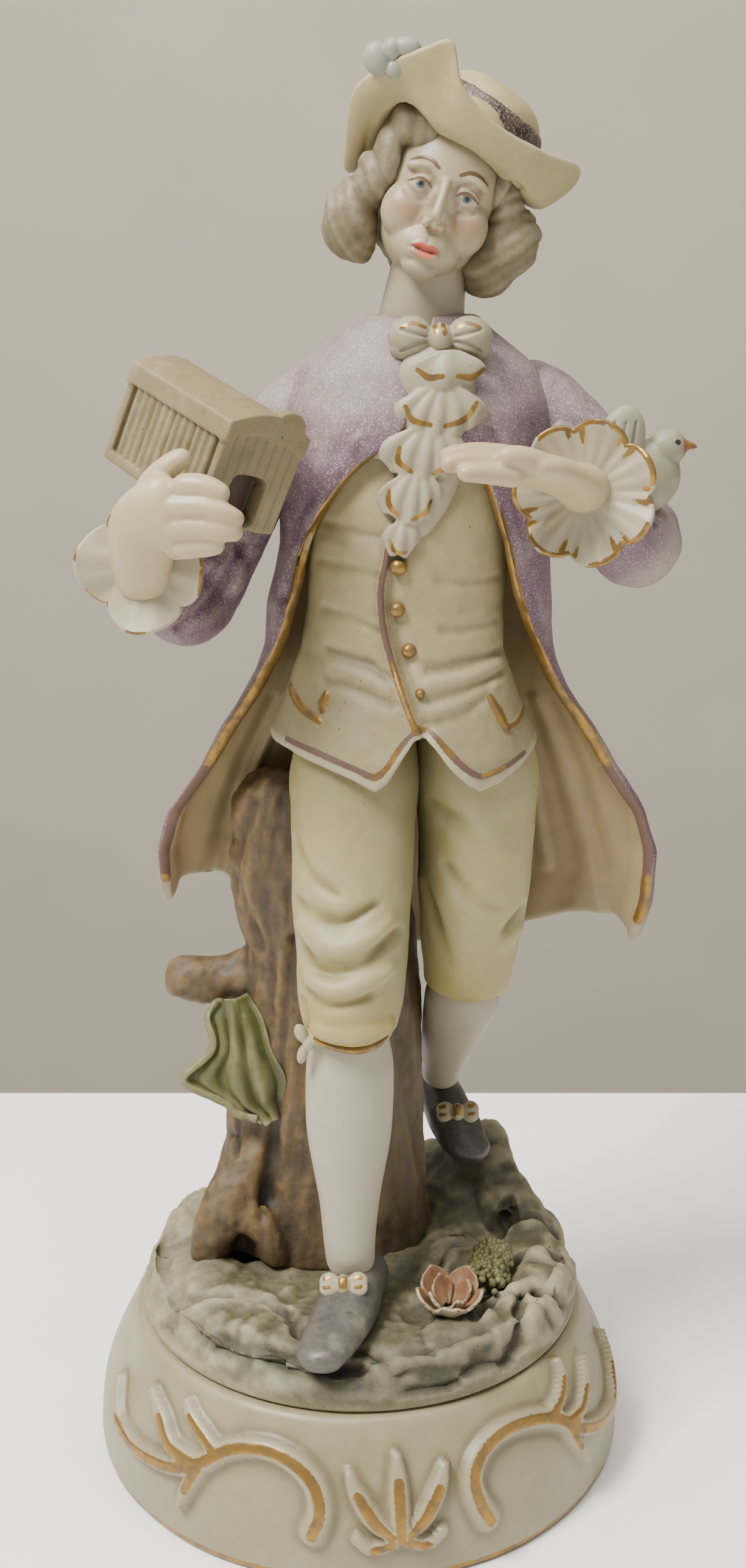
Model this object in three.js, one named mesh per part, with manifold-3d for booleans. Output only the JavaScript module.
// A bisque porcelain figurine: a young gallant in a lilac coat, with a birdhouse under his right arm and
// a dove on his left, standing before a tree trunk on a rocky mound and a round bell-shaped plinth.
// Millimetres, +Z up. The origin is the centre of the plinth's flat underside and the figure faces -Y.
// "right" and "left" are the figure's own: its right hand is on the -X side.

import * as THREE from 'three';
import { mergeVertices } from 'three/addons/utils/BufferGeometryUtils.js';
import Module from 'manifold-3d';

// ---------------------------------------------------------------- driving dimensions

// plinth and mound
const plinthRadius = 52.5;
const plinthHeight = 29;
const plinthWall = 4;
const ventRadius = 3;
const ventOffset = 22;
const reliefHeight = 1.9;         // how far the scrolls stand off the plinth
const scrollThickness = 3.4;
const moundRadius = 44.5;
const moundHeight = 9;            // from the plinth's top to the ground under the front shoe
const moundWall = 4;
const rearRockRise = 13;          // extra height of the rock under the rear shoe

// the figure's build
const shinLength = 60.5;          // ground to knee
const thighLength = 41.5;         // knee to crotch
const torsoLength = 69;           // crotch to shoulders
const neckLength = 17;            // shoulders to chin
const headHeight = 30;            // chin to the top of the skull
const headTilt = THREE.MathUtils.degToRad(18);
const headHalfWidth = 10.6;
const chestHalfWidth = 20.5;
const waistHalfWidth = 17.5;
const hipHalfWidth = 21.5;
const torsoHalfDepth = 13;
const torsoWall = 4;
const thighRadius = 11.4;
const kneeRadius = 9;
const calfRadius = 8.3;
const ankleRadius = 4.7;
const shoeLength = 31;
const shoeHalfWidth = 5.6;
const buckleWidth = 8;
const kneeBowWidth = 6;

// dress
const coatThickness = 2.6;
const tailThickness = 2.2;
const tailLength = 62;            // waist seam to hem
const tailFlare = 21;             // how much wider the hem is than the waist, on each side
const sleeveRadius = 6.8;
const cuffRadius = 11;
const cuffThickness = 2.4;
const cuffScallops = 7;
const scallopDepth = 1.1;
const handLength = 19;
const handWidth = 13;
const handThickness = 5;
const buttonRadius = 1.7;
const buttonPitch = 7.4;
const buttonCount = 4;
const bowWidth = 17;
const jabotLength = 33;
const jabotHalfWidth = 9;

// hair and hat
const hairThickness = 2.4;
const hairRollRadius = 6.4;
const brimRadius = 21;
const brimThickness = 1.8;
const brimTurnUp = 13;
const crownRadius = 12;
const crownHeight = 13;
const hatBandWidth = 4.5;

// birdhouse and dove
const houseLength = 30;
const houseWidth = 17.5;
const houseHeight = 18.5;
const houseWall = 2.2;
const houseRoofRise = 2.6;
const doorWidth = 6.4;
const doorHeight = 8;
const crestRadius = 4.2;
const doveLength = 17;
const doveRadius = 5;

// tree and ground
const trunkHeight = 99;
const trunkHalfWidth = 17;
const trunkHalfDepth = 12;
const trunkWall = 4.5;
const branchRadius = 5;
const branchLength = 19;
const rootRadius = 6.5;
const leafLength = 25;
const leafWidth = 15;
const leafThickness = 2;
const flowerRadius = 5.6;
const mossRadius = 5;

// fits
const seamGap = 0.35;             // slip joint between two castings

// levels that follow from the lengths above
const groundZ = plinthHeight + moundHeight;
const kneeZ = groundZ + shinLength;
const crotchZ = kneeZ + thighLength;
const waistZ = crotchZ + 0.33 * torsoLength;
const shoulderZ = crotchZ + torsoLength;
const chinZ = shoulderZ + neckLength;
const headZ = chinZ + headHeight / 2;

// plan positions of the main masses
const frontLeg = { x: -1.2, y: -20 };
const rearLeg = { x: 21.4, y: 0 };
const trunkAxis = { x: -6, y: 6 };
const rearRock = { x: 25, y: 21 };
const headCentre = new THREE.Vector3(14.6, -1.5, headZ);

// ---------------------------------------------------------------- geometry helpers

const point = (x, y, z) => new THREE.Vector3(x, y, z);
const degrees = THREE.MathUtils.degToRad;

function warp(geometry, move) {
  const positions = geometry.attributes.position;
  const vertex = new THREE.Vector3();
  for (let i = 0; i < positions.count; i += 1) {
    vertex.fromBufferAttribute(positions, i);
    move(vertex);
    positions.setXYZ(i, vertex.x, vertex.y, vertex.z);
  }
  return geometry;
}

// A body along a smooth line. A station is [x, y, z, halfWidth, halfDepth]; the depth of each section
// lies along the direction "front", as nearly as the line allows.
function limb(stations, { sides = 10, steps = stations.length + 2, front = point(0, -1, 0) } = {}) {
  const line = new THREE.CatmullRomCurve3(stations.map((s) => point(s[0], s[1], s[2])));
  const sizes = new THREE.CatmullRomCurve3(stations.map((s) => point(s[3], s[4] ?? s[3], 0)));
  return warp(new THREE.CylinderGeometry(1, 1, 1, sides, steps), (v) => {
    const t = v.y + 0.5;
    const tangent = line.getTangent(t);
    const across = new THREE.Vector3().crossVectors(front, tangent).normalize();
    const back = new THREE.Vector3().crossVectors(across, tangent).normalize();
    const size = sizes.getPoint(t);
    const offset = across.multiplyScalar(size.x * v.x).addScaledVector(back, size.y * v.z);
    v.copy(line.getPoint(t)).add(offset);
  });
}

function blob(centre, radii, { turn = [0, 0, 0], rings = 6, sides = 10 } = {}) {
  const geometry = new THREE.SphereGeometry(1, sides, rings);
  geometry.scale(...radii);
  geometry.applyMatrix4(new THREE.Matrix4().makeRotationFromEuler(new THREE.Euler(...turn)));
  return geometry.translate(centre.x, centre.y, centre.z);
}

// A plate of even thickness laid on surface(u, v), with u and v from 0 to 1.
function sheet(surface, thickness, across, down) {
  const step = 1e-3;
  return warp(new THREE.BoxGeometry(1, 1, 1, across, down, 1), (p) => {
    const u = p.x + 0.5;
    const v = 0.5 - p.y;
    const alongU = surface(u + step, v).sub(surface(u - step, v));
    const alongV = surface(u, v - step).sub(surface(u, v + step));
    const normal = alongU.cross(alongV).normalize();
    p.copy(surface(u, v).addScaledVector(normal, p.z * thickness));
  });
}

// Stands a lathe turned about +Z.
function turned(profile, segments) {
  const outline = profile.map(([r, z]) => new THREE.Vector2(r, z));
  return new THREE.LatheGeometry(outline, segments).rotateX(Math.PI / 2);
}

// An upright prism: an outline in the XZ plane run along Y.
function curtain(outline, yFront, yBack) {
  const shape = new THREE.Shape(outline.map(([x, z]) => new THREE.Vector2(x, z)));
  const geometry = new THREE.ExtrudeGeometry(shape, { depth: yBack - yFront, bevelEnabled: false });
  return geometry.rotateX(Math.PI / 2).translate(0, yBack, 0);
}

function aimed(geometry, position, direction) {
  const spin = new THREE.Quaternion().setFromUnitVectors(point(0, 0, 1), direction.clone().normalize());
  return geometry.applyQuaternion(spin).translate(position.x, position.y, position.z);
}

// The section of a body at one height: centre x, centre y, half width, half depth.
function sectionAt(stations, z) {
  const upward = [...stations].sort((a, b) => a[2] - b[2]);
  const above = Math.max(1, upward.findIndex((s) => s[2] >= z));
  const [low, high] = [upward[above - 1], upward[above]];
  const t = (z - low[2]) / (high[2] - low[2]);
  const [x, y, , width, depth] = low.map((value, i) => value + (high[i] - value) * t);
  return { x, y, width, depth };
}

// The front of that body at x and z.
function frontOf(stations, x, z) {
  const s = sectionAt(stations, z);
  const across = THREE.MathUtils.clamp((x - s.x) / s.width, -0.95, 0.95);
  return point(x, s.y - s.depth * Math.sqrt(1 - across * across), z);
}

// ---------------------------------------------------------------- solids

const wasm = await Module();
wasm.setup();

function weld(geometry) {
  const bare = geometry.clone();
  bare.deleteAttribute('normal');
  bare.deleteAttribute('uv');
  return mergeVertices(bare, 1e-4);
}

function solid(geometry) {
  const welded = weld(geometry);
  return new wasm.Manifold(new wasm.Mesh({
    numProp: 3,
    vertProperties: Float32Array.from(welded.attributes.position.array),
    triVerts: Uint32Array.from(welded.index.array),
  }));
}

// The same skin moved outward far enough that every face clears the old one by the gap.
function swollen(geometry, gap) {
  const welded = weld(geometry);
  const position = welded.attributes.position;
  const index = welded.index.array;
  const normals = Array.from({ length: position.count }, () => new THREE.Vector3());
  const faces = Array.from({ length: position.count }, () => []);
  const corner = (i) => new THREE.Vector3().fromBufferAttribute(position, i);
  for (let i = 0; i < index.length; i += 3) {
    const [a, b, c] = [index[i], index[i + 1], index[i + 2]];
    const normal = corner(b).sub(corner(a)).cross(corner(c).sub(corner(a)));
    if (normal.length() > 1e-9) {
      normal.normalize();
      [a, b, c].forEach((k) => {
        normals[k].add(normal);
        faces[k].push(normal);
      });
    }
  }
  normals.forEach((normal, k) => {
    normal.normalize();
    const slant = Math.max(0.45, Math.min(1, ...faces[k].map((face) => face.dot(normal))));
    const moved = corner(k).addScaledVector(normal, gap / slant);
    position.setXYZ(k, moved.x, moved.y, moved.z);
  });
  return welded;
}

const joined = (solids) => solids.reduce((whole, next) => whole.add(next));

function touches(a, b) {
  const [boxA, boxB] = [a.boundingBox(), b.boundingBox()];
  return [0, 1, 2].every((i) => boxA.min[i] < boxB.max[i] && boxB.min[i] < boxA.max[i]);
}

const figurine = new THREE.Group();
const castings = [];

// Adds one casting. It is made of the given bodies, less its hollows, and is trimmed to leave the seam
// gap wherever it meets a casting added before it.
function cast(name, colour, bodies, { hollows = [], roughness = 0.75, metalness = 0 } = {}) {
  const hollow = (whole) => hollows.reduce((rest, h) => rest.subtract(solid(h)), whole);
  let trimmed = hollow(joined(bodies.map(solid)));
  castings.filter((grown) => touches(grown, trimmed)).forEach((grown) => {
    trimmed = trimmed.subtract(grown);
  });
  castings.push(hollow(joined(bodies.map((body) => solid(swollen(body, seamGap))))));

  const lumps = trimmed.decompose();
  const kept = lumps.reduce((largest, lump) => (lump.volume() > largest.volume() ? lump : largest));

  const { vertProperties, triVerts } = kept.getMesh();
  const geometry = new THREE.BufferGeometry();
  geometry.setAttribute('position', new THREE.BufferAttribute(Float32Array.from(vertProperties), 3));
  geometry.setIndex(new THREE.BufferAttribute(Uint32Array.from(triVerts), 1));
  geometry.computeVertexNormals();
  geometry.computeBoundingBox();
  const centre = geometry.boundingBox.getCenter(new THREE.Vector3());
  geometry.translate(-centre.x, -centre.y, -centre.z);

  const material = new THREE.MeshStandardMaterial({ color: colour, roughness, metalness });
  const mesh = new THREE.Mesh(geometry, material);
  mesh.name = name;
  mesh.position.copy(centre);
  figurine.add(mesh);
}

// ---------------------------------------------------------------- colours of the decoration

const offWhite = 0xd9d8c8;
const stoneGrey = 0xa9a995;
const bark = 0x8d7a66;
const leafGreen = 0x7f8a52;
const white = 0xe8e6de;
const shoeGrey = 0x83808a;
const breechesYellow = 0xd6d3ab;
const waistcoatCream = 0xcbc9b2;
const gold = 0x9c7434;
const lilac = 0xab97ac;
const ivory = 0xe3d8bf;
const houseBeige = 0xa69c83;
const hairTaupe = 0xaaa089;
const strawCream = 0xe3dbb6;
const ribbonBrown = 0x7a655c;
const ribbonBlue = 0xb4c3c8;
const doveGrey = 0xc9cccb;
const petalPeach = 0xc99a7c;

// ---------------------------------------------------------------- plinth and mound

const bellProfile = [
  [0, 0], [plinthRadius - 1, 0], [plinthRadius, 1], [plinthRadius + 0.4, 0.14 * plinthHeight],
  [plinthRadius - 0.4, 0.38 * plinthHeight], [plinthRadius - 2, 0.57 * plinthHeight],
  [0.6 * moundRadius + 0.4 * plinthRadius, 0.78 * plinthHeight], [moundRadius, plinthHeight],
];

// Radius of the plinth's outer face at one height.
function bellRadius(z) {
  const above = bellProfile.findIndex(([, height], i) => i > 1 && height >= z);
  const [low, high] = [bellProfile[above - 1], bellProfile[above]];
  return low[0] + ((high[0] - low[0]) * (z - low[1])) / (high[1] - low[1]);
}

const rimRadius = moundRadius - plinthWall;
const plinthInside = [[rimRadius, plinthHeight], [plinthRadius - plinthWall, 0.4 * plinthHeight],
  [plinthRadius - plinthWall - 1, plinthWall], [0, plinthWall]];

// A raised stroke on the plinth: points are [turn from the front in degrees, share of the height].
function plinthStroke(points, side) {
  const stations = points.map(([turn, share], i) => {
    const z = share * plinthHeight;
    const radius = bellRadius(z) - scrollThickness / 2 + reliefHeight;
    const angle = side * degrees(turn);
    const end = i === 0 || i === points.length - 1 ? 0.6 : 1;
    return [radius * Math.sin(angle), -radius * Math.cos(angle), z, (end * scrollThickness) / 2];
  });
  return limb(stations, { sides: 5, steps: 7, front: point(side * 0.5, -0.8, 0.1) });
}

const scrollStrokes = [
  [[15, 0.18], [14, 0.42], [21, 0.6], [30, 0.64], [40, 0.52], [50, 0.46], [60, 0.6], [68, 0.85]],
  [[31, 0.9], [36, 0.7], [42, 0.55]],
  [[43, 0.92], [46, 0.72], [51, 0.5]],
  [[41, 0.2], [42, 0.36], [47, 0.46]],
];
const palmetteStrokes = [
  [[0, 0.14], [0, 0.45], [0, 0.72]],
  [[1, 0.2], [4, 0.4], [8, 0.6]],
];
const reliefs = [-1, 1].flatMap((side) => [...scrollStrokes, palmetteStrokes[1]]
  .map((stroke) => plinthStroke(stroke, side)));
reliefs.push(plinthStroke(palmetteStrokes[0], 1));

const vent = new THREE.CylinderGeometry(ventRadius, ventRadius, 4 * plinthWall, 16)
  .rotateX(Math.PI / 2).translate(0, ventOffset, 0);
const plinthCore = turned([[0, plinthWall], ...plinthInside.slice(0, 3).reverse(),
  [rimRadius, plinthHeight + 1], [0, plinthHeight + 1]], 24);
cast('plinth', offWhite, [turned([...bellProfile, [0, plinthHeight]], 40), ...reliefs],
  { hollows: [plinthCore, vent], roughness: 0.5 });

const moundSeat = plinthHeight + seamGap;
const moundSide = moundRadius + 0.6;

// How far the ground is raised above the plain mound at x and y.
function groundRise(x, y) {
  const toRock = ((x - rearRock.x) / 15) ** 2 + ((y - rearRock.y) / 13) ** 2;
  const ripple = 0.6 * Math.sin(x / 5 + y / 9) + 0.5 * Math.cos(y / 4.5 - x / 11);
  return rearRockRise * Math.exp(-toRock) + ripple;
}

function rocky(v) {
  const turn = Math.atan2(v.y, v.x);
  const shareUp = THREE.MathUtils.clamp((v.z - moundSeat) / (groundZ - moundSeat), 0, 1);
  const spread = 1 + shareUp * (0.02 * Math.sin(5 * turn) + 0.015 * Math.sin(9 * turn + 1));
  v.x *= spread;
  v.y *= spread;
  v.z += shareUp * groundRise(v.x, v.y);
}

const moundProfile = [[rimRadius, moundSeat], [moundSide, moundSeat], [moundSide + 0.4, moundSeat + 3],
  [moundSide - 2.5, groundZ - 2], [moundSide - 7, groundZ - 0.6], [moundSide - 16, groundZ],
  [moundSide - 30, groundZ], [0, groundZ]];
const moundUnderside = [[0, groundZ - moundWall], [rimRadius - 12, groundZ - moundWall],
  [rimRadius - 3, moundSeat + 1.5], [rimRadius, moundSeat]];
cast('rock_mound', stoneGrey, [warp(turned([...moundUnderside, ...moundProfile.slice(1)], 32), rocky)]);

// ---------------------------------------------------------------- legs and shoes

const heelLift = 11;              // the rear heel is off the ground
const soleThickness = 4;
const frontSoleZ = groundZ + soleThickness;
const rearToe = point(24.8, 6.5, groundZ + rearRockRise + 1.6);
const rearAnkle = point(17.3, 21.5, rearToe.z + heelLift);

const shoeFront = (share) => -18 - share * shoeLength;
cast('right_shoe', shoeGrey, [limb([
  [1.9, -14.6, frontSoleZ, 3.4, 3.4],
  [1, -18, frontSoleZ + 0.4, ankleRadius, 4.4],
  [-1.2, shoeFront(0.3), frontSoleZ + 0.4, shoeHalfWidth, 4.6],
  [-4.6, shoeFront(0.58), frontSoleZ - 1, shoeHalfWidth, 3.2],
  [-7, shoeFront(0.78), frontSoleZ - 1.8, 4, 2.3],
  [-7.9, shoeFront(0.87), frontSoleZ - 2, 2, 1.7],
], { front: point(0, 0, 1), steps: 8 })]);
cast('left_shoe', shoeGrey, [limb([
  [rearAnkle.x - 1.4, rearAnkle.y + 5.4, rearAnkle.z + 0.8, 3.4, 3.4],
  [rearAnkle.x, rearAnkle.y + 1, rearAnkle.z - 1.4, ankleRadius, 4.6],
  [20.2, 14.5, rearToe.z + 0.42 * heelLift, shoeHalfWidth - 0.5, 4],
  [rearToe.x - 1.6, rearToe.y + 3.5, rearToe.z + 1.3, 4.6, 2.8],
  [rearToe.x, rearToe.y, rearToe.z, 2.4, 1.7],
], { front: point(0, 0, 1), steps: 7 })]);

const kneeBandZ = kneeZ - 5;
cast('right_breeches_leg', breechesYellow, [limb([
  [0.6, -8, crotchZ + 13, 8, 8],
  [-0.5, -10.5, crotchZ + 2, thighRadius, thighRadius - 0.2],
  [-0.9, -15.5, crotchZ - 0.48 * thighLength, thighRadius - 0.6, thighRadius - 0.4],
  [frontLeg.x, frontLeg.y, kneeZ + 3, kneeRadius + 0.4, kneeRadius + 0.6],
  [frontLeg.x - 0.6, frontLeg.y - 0.6, kneeBandZ, kneeRadius - 1, kneeRadius - 0.8],
], { steps: 7 })]);
cast('left_breeches_leg', breechesYellow, [limb([
  [20, -5, crotchZ + 13, 8, 8],
  [21.6, -6, crotchZ + 2, thighRadius, thighRadius],
  [21.9, -4.5, crotchZ - 0.48 * thighLength, thighRadius - 1, thighRadius - 0.8],
  [rearLeg.x, rearLeg.y - 2, kneeZ + 3, kneeRadius - 0.2, kneeRadius],
  [rearLeg.x, rearLeg.y - 1.6, kneeBandZ + 0.6, kneeRadius - 1.6, kneeRadius - 1.4],
], { steps: 7 })]);

cast('right_stocking', white, [limb([
  [frontLeg.x, frontLeg.y, kneeZ + 1, kneeRadius - 2.6],
  [frontLeg.x - 0.2, frontLeg.y + 0.6, kneeZ - 0.2 * shinLength, calfRadius, calfRadius],
  [frontLeg.x - 0.4, frontLeg.y + 0.2, kneeZ - 0.4 * shinLength, calfRadius - 0.4],
  [frontLeg.x - 0.4, frontLeg.y - 1.2, kneeZ - 0.62 * shinLength, ankleRadius + 1],
  [frontLeg.x - 0.3, frontLeg.y - 2, kneeZ - 0.78 * shinLength, ankleRadius],
  [frontLeg.x + 0.2, frontLeg.y - 1.2, groundZ + 6, ankleRadius - 0.2],
], { steps: 9 })]);
cast('left_stocking', white, [limb([
  [rearLeg.x, rearLeg.y - 1, kneeZ + 1, kneeRadius - 3],
  [rearLeg.x - 1.2, rearLeg.y + 4, kneeZ - 8.5, calfRadius - 1],
  [18.4, 12, kneeZ - 20, calfRadius - 2.6],
  [rearAnkle.x, rearAnkle.y - 2, rearAnkle.z + 4.5, ankleRadius - 0.5],
  [rearAnkle.x, rearAnkle.y, rearAnkle.z - 1, ankleRadius - 0.8],
], { steps: 8 })]);

const buckle = (at, lean) => blob(at, [buckleWidth / 2, 1.6, 2.6], { turn: [lean, 0, 0] });
cast('right_shoe_buckle', white, [buckle(point(-2.6, -29.5, frontSoleZ + 4.6), degrees(-35))]);
cast('left_shoe_buckle', white, [buckle(point(20.4, 12.6, rearToe.z + 8.6), degrees(-30))]);
cast('knee_bow', white, [blob(point(-8.6, -25.5, kneeBandZ + 0.6), [kneeBowWidth / 2, 1.8, 1.7],
  { turn: [0, degrees(-35), 0] })]);

// ---------------------------------------------------------------- body

const neckBaseZ = shoulderZ + 9;
const torso = [
  [8.4, -7.5, crotchZ - 3, hipHalfWidth + 4.2, torsoHalfDepth + 6.5],
  [8.3, -7.5, crotchZ + 6, hipHalfWidth + 3.4, torsoHalfDepth + 5.5],
  [8.2, -6, crotchZ + 14, hipHalfWidth - 0.4, torsoHalfDepth + 2.6],
  [8.2, -4.5, waistZ, waistHalfWidth, torsoHalfDepth - 1],
  [9.3, -3.2, waistZ + 0.26 * torsoLength, waistHalfWidth + 0.8, torsoHalfDepth - 0.2],
  [10.6, -1, shoulderZ - 13, chestHalfWidth - 1.5, torsoHalfDepth],
  [11, 0, shoulderZ - 2, chestHalfWidth - 2, torsoHalfDepth - 1],
  [11.2, 0, shoulderZ + 4, chestHalfWidth - 9, torsoHalfDepth - 3],
];
const torsoCore = torso.slice(0, 7).map(([x, y, z, width, depth]) => (
  [x, y, z, width - torsoWall, depth - torsoWall]));
const peplumCut = curtain([[-40, crotchZ - 12], [-40, crotchZ + 8.5], [-17.4, crotchZ + 7.5],
  [4.6, crotchZ + 0.4], [11, crotchZ + 10], [22, crotchZ - 0.2], [33, crotchZ + 5.5],
  [50, crotchZ + 7], [50, crotchZ - 12]], -50, 50);
cast('waistcoat', waistcoatCream, [limb(torso, { sides: 16, steps: 11 })],
  { hollows: [limb(torsoCore, { sides: 10, steps: 7 }), peplumCut] });

const buttonLine = [7, 6.8, 8.8, 10.6];
for (let i = 0; i < buttonCount; i += 1) {
  const at = frontOf(torso, buttonLine[i % buttonLine.length], waistZ + 16.5 - i * buttonPitch);
  cast(`waistcoat_button_${i + 1}`, gold, [blob(at, [buttonRadius, 1.5, buttonRadius],
    { rings: 5, sides: 8 })], { roughness: 0.4, metalness: 0.6 });
}

// ---------------------------------------------------------------- head

const headTop = new THREE.Vector3(Math.sin(headTilt), 0, Math.cos(headTilt));
const fromHead = (x, y, z) => headCentre.clone().addScaledVector(headTop, z)
  .addScaledVector(point(Math.cos(headTilt), 0, -Math.sin(headTilt)), x).add(point(0, y, 0));
const upright = [0, headTilt, 0];
cast('head', ivory, [
  blob(fromHead(0, 1, 2), [headHalfWidth, headHalfWidth + 1.4, 0.44 * headHeight],
    { turn: upright, rings: 8, sides: 14 }),
  blob(fromHead(0, -2.6, -0.22 * headHeight), [headHalfWidth - 2.4, headHalfWidth - 2, 0.28 * headHeight],
    { turn: upright }),
  blob(fromHead(0, -headHalfWidth - 1.4, -1.8), [1.3, 1.8, 2.6], { turn: upright, rings: 6, sides: 8 }),
  limb([[11.2, 0, neckBaseZ - 4, 8.4, 8], [11.4, -0.3, neckBaseZ + 2, 8.2, 7.8],
    [12.6, -1, chinZ + 3, 7, 7], [14, -1, chinZ + 8, 6, 6]]),
]);
cast('hair_front', hairTaupe, [
  blob(fromHead(0, 3.4, 3.4), [headHalfWidth + hairThickness, headHalfWidth + 1, 0.47 * headHeight],
    { turn: upright, rings: 8, sides: 12 })], { roughness: 0.85 });

const rollStations = (side, inward, drop) => [
  [fromHead(side * (headHalfWidth - 2.4), -2, 10), 3.2],
  [fromHead(side * headHalfWidth, -2, 3), 0.66 * hairRollRadius],
  [fromHead(side * (headHalfWidth + inward), -1, drop), hairRollRadius],
  [fromHead(side * (headHalfWidth + inward - 2.5), 0.5, drop - 5.5), 0.62 * hairRollRadius],
].map(([at, radius]) => [at.x, at.y, at.z, radius]);
cast('right_hair_roll', hairTaupe, [limb(rollStations(-1, 3, -8.2))], { roughness: 0.85 });
cast('left_hair_roll', hairTaupe, [limb(rollStations(1, 3.6, -4.4))], { roughness: 0.85 });

// ---------------------------------------------------------------- hat

const hatCentre = point(headCentre.x + 3, 1, headZ + 10.5);

// Stations around the brim: turn in degrees from +X, share of the brim's radius, lift of its edge.
const brimEdge = [[0, 1, -6], [45, 0.98, -3], [90, 0.95, -1], [135, 0.9, -4], [180, 0.9, -3.5],
  [213, 0.78, 0.66 * brimTurnUp], [255, 0.54, brimTurnUp], [278, 0.6, 0.3 * brimTurnUp], [320, 0.84, -2]];
const brimCurve = new THREE.CatmullRomCurve3(brimEdge.map(([turn, share, lift]) => (
  point(share * brimRadius * Math.cos(degrees(turn)), share * brimRadius * Math.sin(degrees(turn)), lift)
)), true);
const brimSegments = 30;
const half = brimThickness / 2;
const brimDisc = turned([[0, -half], [0.5, -half], [0.8, -half], [1, -0.6 * half], [1, 0.6 * half],
  [0.8, half], [0.5, half], [0, half]], brimSegments);
cast('hat_brim', strawCream, [warp(brimDisc, (v) => {
  const radius = Math.hypot(v.x, v.y);
  const turn = (Math.atan2(v.y, v.x) / (2 * Math.PI) + 1) % 1;
  const edge = brimCurve.getPoint(turn);
  v.set(edge.x * radius, edge.y * radius, v.z + edge.z * radius ** 2).add(hatCentre);
})]);

const crownLean = [0, degrees(22), 0];
const crownCentre = hatCentre.clone().add(point(2.5, 5.5, 0.6));
cast('hat_crown', strawCream, [blob(crownCentre, [crownRadius, crownRadius, 0.72 * crownHeight],
  { turn: crownLean, rings: 8, sides: 14 })]);
const band = new THREE.TorusGeometry(crownRadius - 0.4, 1.7, 6, 20).scale(1, 1, hatBandWidth / 3.4);
band.applyMatrix4(new THREE.Matrix4().makeRotationFromEuler(new THREE.Euler(...crownLean)));
cast('hat_band', ribbonBrown, [band.translate(crownCentre.x, crownCentre.y, crownCentre.z - 0.4)],
  { roughness: 0.5 });
const bowAt = hatCentre.clone().add(point(-12.6, -9.6, 0.78 * brimTurnUp));
cast('hat_bow', ribbonBlue, [
  blob(bowAt, [2.6, 2.2, 3.2], { turn: [0, degrees(20), 0], rings: 6, sides: 8 }),
  blob(bowAt.clone().add(point(4.6, -0.4, 2.2)), [2.8, 2, 1.9], { rings: 5, sides: 8 }),
]);

// ---------------------------------------------------------------- coat

const coat = [
  [9.4, 0, waistZ, 25.4, 17],
  [9.6, 0, waistZ + 8, 25, 16.6],
  [10.4, 0, waistZ + 18, 23.4, 16.2],
  [11, 0.2, shoulderZ - 15, chestHalfWidth + coatThickness + 0.3, torsoHalfDepth + coatThickness + 0.8],
  [11, 0.6, shoulderZ - 4, chestHalfWidth + coatThickness - 0.2, torsoHalfDepth + coatThickness - 0.6],
  [10.8, 0.8, shoulderZ + 3, chestHalfWidth - 0.6, torsoHalfDepth],
  [10.6, 1, shoulderZ + 8.5, chestHalfWidth - 4.6, torsoHalfDepth - 2.6],
  [11, 1, shoulderZ + 12.5, chestHalfWidth - 11, torsoHalfDepth - 4.6],
];
const coatLining = [
  [9.4, 0, waistZ - 1, 25.4 - coatThickness, 17 - coatThickness],
  [9.6, 0, waistZ + 8, 24.8 - coatThickness, 16.4 - coatThickness],
  [9.6, -2, waistZ + 17, waistHalfWidth, torsoHalfDepth - 1],
  [10, -2, waistZ + 23, waistHalfWidth - 4, torsoHalfDepth - 4],
];
const coatOpening = curtain([[-22, waistZ - 10], [-10.9, waistZ + 7.2], [-7.6, waistZ + 20.4],
  [-3, waistZ + 29], [5, shoulderZ - 8], [14, shoulderZ - 3], [21, shoulderZ - 12],
  [25.6, waistZ + 20.4], [29.3, waistZ + 10.4], [38, waistZ - 10]], -40, -1);
cast('coat_body', lilac, [limb(coat, { sides: 18, steps: 11 })],
  { hollows: [limb(coatLining, { sides: 18, steps: 5 }), coatOpening] });

// One tail, from its front edge (u = 0) to the centre back (u = 1) and from the waist (v = 0) down.
function coatTail(side) {
  const vent = seamGap / 2;
  return sheet((u, v) => {
    const reach = 25.4 - coatThickness / 2 + tailFlare * Math.sin((v * Math.PI) / 2);
    const depth = 17 - coatThickness / 2 + 7 * v;
    const start = degrees(195 - 8 * v);
    const turn = start + (degrees(90) - start) * u;
    const ripple = 1.2 * v * Math.sin(u * 3.5 * Math.PI);
    const hem = 5.5 * v * Math.sin(u * Math.PI * 1.4 + 0.4);
    const x = (reach + ripple) * Math.cos(turn) - vent;
    return point(9.4 - side * x, (depth + ripple) * Math.sin(turn), waistZ - seamGap - tailLength * v + hem);
  }, tailThickness, 10, 7);
}
cast('right_coat_tail', lilac, [coatTail(-1)]);
cast('left_coat_tail', lilac, [coatTail(1)]);

// ---------------------------------------------------------------- arms

const rightShoulder = point(-10, 2.5, shoulderZ - 3);
const rightElbow = point(-27.6, -1, shoulderZ - 38.6);
const rightWrist = point(-34.4, -28.5, shoulderZ - 31);
const leftShoulder = point(32, 2.5, shoulderZ - 3);
const leftElbow = point(49, -5, shoulderZ - 29);
const leftWrist = point(36.6, -35, shoulderZ - 14.5);

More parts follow.
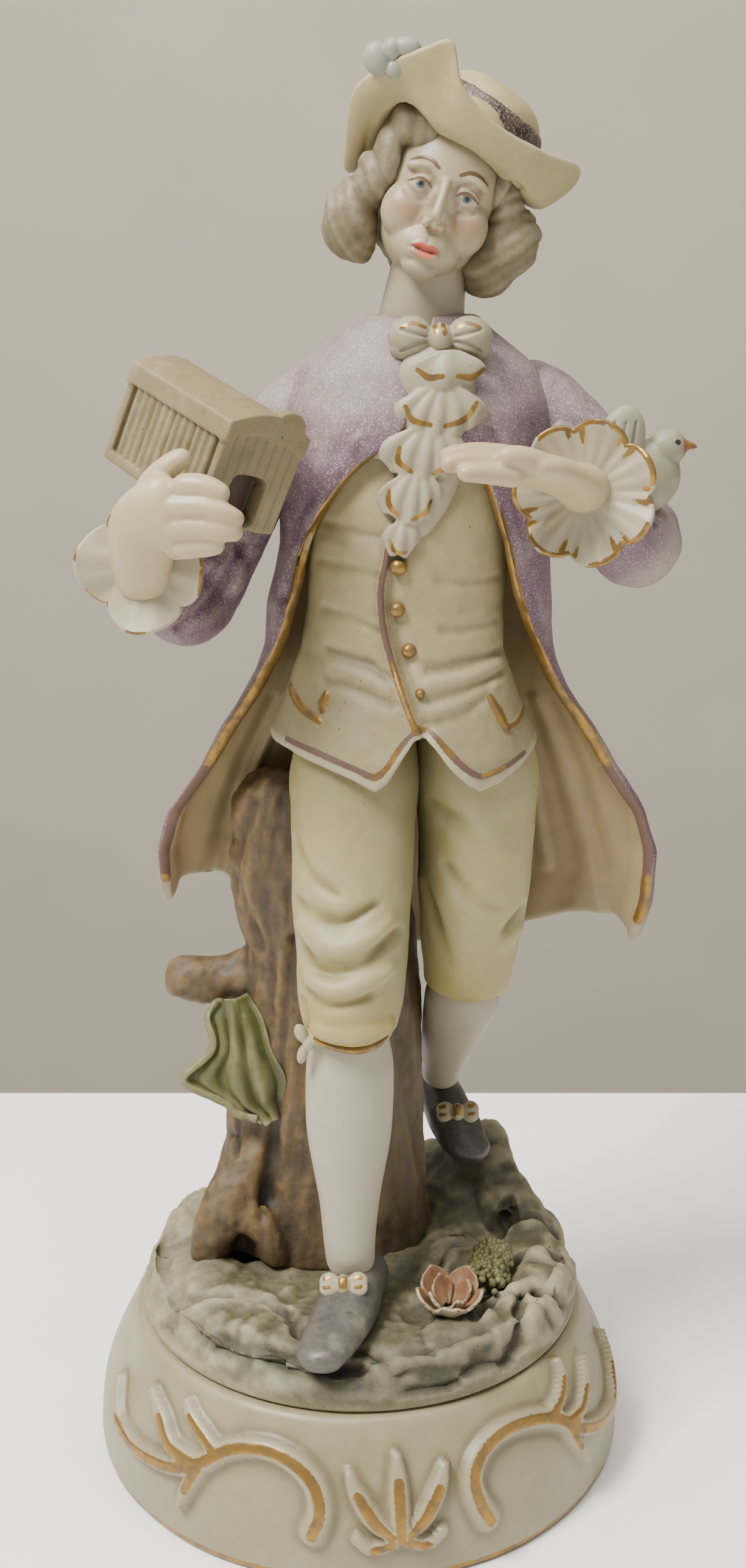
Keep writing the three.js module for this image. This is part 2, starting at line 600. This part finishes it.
// The sleeve bends at the elbow on its way from shoulder to wrist.
function sleeve(shoulder, elbow, wrist) {
  const upper = shoulder.clone().lerp(elbow, 0.5);
  const lower = elbow.clone().lerp(wrist, 0.5);
  const out = Math.sign(elbow.x - shoulder.x);
  const near = point(shoulder.x + out * 6, shoulder.y, shoulder.z - 5);
  return limb([
    [shoulder.x, shoulder.y, shoulder.z, sleeveRadius - 0.6],
    [near.x, near.y, near.z, sleeveRadius + 0.6],
    [upper.x + out * 1.5, upper.y, upper.z, sleeveRadius],
    [elbow.x, elbow.y, elbow.z, sleeveRadius + 0.8],
    [lower.x, lower.y, lower.z - 0.6, sleeveRadius],
    [wrist.x, wrist.y, wrist.z, sleeveRadius - 1.6],
  ], { sides: 10, steps: 10, front: point(0, 0.35, 1) });
}
cast('right_sleeve', lilac, [sleeve(rightShoulder, rightElbow, rightWrist)]);
cast('left_sleeve', lilac, [sleeve(leftShoulder, leftElbow, leftWrist)]);

// A frilled cuff: a dished disc with a scalloped, waving edge, facing along "direction".
function cuff(at, direction) {
  const disc = turned([[0, -3.4], [0.55, -3.2], [1, -cuffThickness / 2],
    [1, cuffThickness / 2 - 0.4], [0.6, 0.9], [0, 0.6]], cuffScallops * 4);
  warp(disc, (v) => {
    const turn = Math.atan2(v.y, v.x);
    const share = Math.hypot(v.x, v.y);
    const wave = Math.cos(cuffScallops * turn);
    const reach = cuffRadius + scallopDepth * wave * share;
    v.set(v.x * reach, v.y * reach, v.z + scallopDepth * wave * share ** 2);
  });
  return aimed(disc, at, direction);
}
const rightCuffAxis = point(-0.22, -0.93, 0.1);
const leftCuffAxis = point(-0.3, -0.93, 0.08);
const cuffSet = 1.5;
const rightCuffAt = rightWrist.clone().addScaledVector(rightCuffAxis, cuffSet);
const leftCuffAt = leftWrist.clone().addScaledVector(leftCuffAxis, cuffSet);

// ---------------------------------------------------------------- birdhouse

const houseCentre = point(-25.8, -16.6, shoulderZ - 9.4);
const houseTurn = new THREE.Euler(degrees(3.2), degrees(21.6), degrees(-46.7), 'YXZ');
function inHouse(geometry) {
  geometry.applyMatrix4(new THREE.Matrix4().makeRotationFromEuler(houseTurn));
  return geometry.translate(houseCentre.x, houseCentre.y, houseCentre.z);
}

// The end elevation: straight walls under a gently arched roof.
function houseOutline(inset) {
  const [w, h] = [houseWidth / 2 - inset, houseHeight / 2 - inset];
  const outline = new THREE.Shape();
  outline.moveTo(-w, -h);
  outline.lineTo(w, -h);
  outline.lineTo(w, h);
  outline.quadraticCurveTo(0, h + 2 * houseRoofRise, -w, h);
  outline.closePath();
  return outline;
}
function houseBlock(inset) {
  const length = houseLength - 2 * inset;
  const block = new THREE.ExtrudeGeometry(houseOutline(inset),
    { depth: length, bevelEnabled: false, curveSegments: 8 });
  return block.translate(0, 0, -length / 2).rotateX(Math.PI / 2).rotateZ(Math.PI / 2);
}
const crest = new THREE.CylinderGeometry(crestRadius, crestRadius, 2.4, 16).rotateZ(Math.PI / 2)
  .translate(houseLength / 2 - 1.2, 0.2 * houseWidth, houseHeight / 2 + 0.4);
const door = new THREE.BoxGeometry(4 * houseWall, doorWidth, doorHeight)
  .translate(houseLength / 2, -0.06 * houseWidth, -0.17 * houseHeight);
cast('birdhouse', houseBeige, [inHouse(houseBlock(0)), inHouse(crest)],
  { hollows: [inHouse(houseBlock(houseWall)), inHouse(door)] });

// ---------------------------------------------------------------- hands, cuffs, dove

const rightHandAt = rightWrist.clone().add(point(4, -6.4, 12.5));
const rightFinger = (share, drop, width, depth) => [
  rightHandAt.x - 6 + share * handLength, rightHandAt.y - share * 5, rightHandAt.z - drop, width, depth];
cast('right_hand', ivory, [
  limb([[rightWrist.x, rightWrist.y - 2, rightWrist.z + 2, 3.6],
    rightFinger(0.1, 2.6, 0.46 * handWidth, 3.2),
    rightFinger(0.36, 0, 0.57 * handWidth, 0.72 * handThickness),
    rightFinger(0.66, -0.6, 0.54 * handWidth, 0.56 * handThickness),
    rightFinger(0.96, -0.8, 0.34 * handWidth, 0.36 * handThickness)]),
  limb([[rightHandAt.x - 3, rightHandAt.y + 1.4, rightHandAt.z + 3.5, 2.2],
    [rightHandAt.x + 0.4, rightHandAt.y + 0.8, rightHandAt.z + 7, 2],
    [rightHandAt.x + 4, rightHandAt.y + 0.2, rightHandAt.z + 9.4, 1.3]], { sides: 8 }),
]);

const leftHandAt = leftWrist.clone().add(point(-6, -7, 3.4));
const leftFinger = (share, rise, width, depth) => [
  leftHandAt.x - share * (handLength - 1.5), leftHandAt.y - share * 7, leftHandAt.z + rise, width, depth];
cast('left_hand', ivory, [
  limb([[leftWrist.x, leftWrist.y - 2, leftWrist.z + 0.5, 3.8, 3.4],
    leftFinger(0, 0, 0.38 * handWidth, 3),
    leftFinger(0.38, 1.6, 0.48 * handWidth, 0.56 * handThickness),
    leftFinger(0.7, 2.6, 0.44 * handWidth, 0.42 * handThickness),
    leftFinger(0.98, 2.4, 0.28 * handWidth, 0.3 * handThickness)], { front: point(0, 0.2, 1) }),
  limb([[leftHandAt.x - 1, leftHandAt.y - 3, leftHandAt.z - 0.6, 2],
    [leftHandAt.x - 5.4, leftHandAt.y - 6.2, leftHandAt.z + 0.6, 1.8],
    [leftHandAt.x - 9.6, leftHandAt.y - 7.4, leftHandAt.z + 1.6, 1.2]],
  { sides: 8, front: point(0, 0, 1) }),
]);
cast('right_cuff', white, [cuff(rightCuffAt, rightCuffAxis)]);
cast('left_cuff', white, [cuff(leftCuffAt, leftCuffAxis)]);

const doveAt = point(leftElbow.x - 1.4, leftElbow.y - 14.6, leftElbow.z + 15);
cast('dove_body', doveGrey, [
  blob(doveAt, [0.43 * doveLength, doveRadius, doveRadius + 1.8], { turn: [0, degrees(-12), 0] }),
  blob(doveAt.clone().add(point(4.8, -0.6, 5.4)), [3.3, 3, 3.1]),
  blob(doveAt.clone().add(point(8.2, -1, 5.5)), [1.8, 0.9, 0.9], { rings: 5, sides: 8 }),
]);
cast('dove_wing', doveGrey, [blob(doveAt.clone().add(point(-3.6, -2.4, 6)), [3.8, 2, 6.6],
  { turn: [0, degrees(14), 0] })]);
cast('dove_tail', doveGrey, [limb([
  [doveAt.x - 3, doveAt.y, doveAt.z + 1, 3, 2.4],
  [doveAt.x - 9, doveAt.y + 0.8, doveAt.z + 4, 3.2, 1.4],
  [doveAt.x - 15.5, doveAt.y + 1.4, doveAt.z + 7, 3.6, 1],
], { front: point(0, 0, 1), sides: 10 })]);

// ---------------------------------------------------------------- neckwear

const bowKnot = point(14.3, -11.5, shoulderZ + 8.4);
cast('neck_bow', white, [
  blob(bowKnot, [2.5, 3, 2.8]),
  ...[-1, 1].map((side) => blob(bowKnot.clone().add(point(side * 0.3 * bowWidth, 0.4, -0.6 * side)),
    [0.24 * bowWidth, 3, 3.6], { turn: [0, degrees(6), 0] })),
]);
const jabotTop = bowKnot.z - 3.4;
const jabotFront = (x, share, out) => {
  const z = jabotTop - share * jabotLength;
  const surface = frontOf(torso, x, Math.min(z, shoulderZ + 2));
  return [x, Math.min(surface.y, bowKnot.y + 1) - out, z];
};
cast('jabot', white, [limb([
  [...jabotFront(14.3, 0, 0.4), 3.4, 2.4],
  [...jabotFront(14.6, 0.16, 1.6), jabotHalfWidth, 3.4],
  [...jabotFront(12.4, 0.42, 1.8), jabotHalfWidth - 1, 3.4],
  [...jabotFront(10, 0.7, 1.6), jabotHalfWidth - 2.4, 2.8],
  [...jabotFront(6.4, 1, 1), 1.6, 1.4],
], { steps: 7 })]);

// ---------------------------------------------------------------- tree and flowers

const trunkBase = groundZ - 2;
const trunk = [
  [trunkAxis.x - 1.6, trunkAxis.y, trunkBase, trunkHalfWidth + 5.6, trunkHalfDepth + 3.5],
  [trunkAxis.x - 1.4, trunkAxis.y, groundZ + 0.14 * trunkHeight, trunkHalfWidth + 3.2, trunkHalfDepth + 2],
  [trunkAxis.x - 0.8, trunkAxis.y, groundZ + 0.32 * trunkHeight, trunkHalfWidth + 2.4, trunkHalfDepth + 1],
  [trunkAxis.x + 0.8, trunkAxis.y, groundZ + 0.55 * trunkHeight, trunkHalfWidth, trunkHalfDepth],
  [trunkAxis.x - 1.6, trunkAxis.y, groundZ + 0.78 * trunkHeight, trunkHalfWidth - 1, trunkHalfDepth - 1],
  [trunkAxis.x - 7, trunkAxis.y, groundZ + trunkHeight, trunkHalfWidth - 6.4, trunkHalfDepth - 4],
];
const trunkCore = trunk.slice(0, 5).map(([x, y, z, width, depth]) => (
  [x, y, z, width - trunkWall, depth - trunkWall]));
cast('tree_trunk', bark, [limb(trunk, { sides: 14, steps: 9 })],
  { hollows: [limb(trunkCore, { sides: 8, steps: 5 })] });

const branchFrom = point(trunkAxis.x - trunkHalfWidth + 1, trunkAxis.y, groundZ + 0.57 * trunkHeight);
cast('trunk_branch', bark, [limb([
  [branchFrom.x + 4, branchFrom.y, branchFrom.z + 2, branchRadius],
  [branchFrom.x - 0.4 * branchLength, branchFrom.y - 1, branchFrom.z - 0.6, branchRadius - 0.6],
  [branchFrom.x - 0.9 * branchLength, branchFrom.y - 3, branchFrom.z - 1.6, branchRadius - 0.4],
], { steps: 6 })]);
const rootFrom = point(trunkAxis.x - trunkHalfWidth + 4, trunkAxis.y - 5, groundZ + 24);
cast('trunk_root', bark, [limb([
  [rootFrom.x, rootFrom.y + 3, rootFrom.z, rootRadius - 1.5],
  [rootFrom.x - 4, rootFrom.y - 1, rootFrom.z - 9, rootRadius],
  [rootFrom.x - 8.5, rootFrom.y - 5, rootFrom.z - 17.5, rootRadius - 0.4],
  [rootFrom.x - 10.5, rootFrom.y - 8, rootFrom.z - 22, rootRadius - 2.6],
], { steps: 8 })]);
const leafTop = point(branchFrom.x - 0.6, branchFrom.y - 7, branchFrom.z - 3);
cast('oak_leaf', leafGreen, [sheet((u, v) => {
  const across = (u - 0.5) * leafWidth * (0.25 + 0.95 * Math.sin(Math.min(1, v + 0.05) * 2.1) ** 0.8);
  const curl = 2.4 * Math.cos((u - 0.5) * Math.PI) + 0.7 * Math.cos(u * 8 * Math.PI);
  return point(leafTop.x + across - 1.5 * v, leafTop.y - curl - 1.4 * Math.sin(v * Math.PI),
    leafTop.z - leafLength * v + 1.5 * Math.cos(u * 6 * Math.PI) * v);
}, leafThickness, 8, 5)]);

const groundAt = (x, y) => point(x, y, groundZ + groundRise(x, y));
const flowerAt = groundAt(17.4, -24.5).add(point(0, 0, 2.4));
cast('flower', petalPeach, [
  blob(flowerAt, [flowerRadius, flowerRadius, 3.4], { turn: [degrees(25), 0, 0] }),
], { hollows: [blob(flowerAt.clone().add(point(0, -1, 2.6)), [3.6, 3.6, 3], { rings: 5, sides: 8 })] });
cast('moss_tuft', leafGreen, [blob(groundAt(25.6, -14).add(point(0, 0, 1.6)),
  [mossRadius, 0.8 * mossRadius, 0.8 * mossRadius])]);

export default figurine;
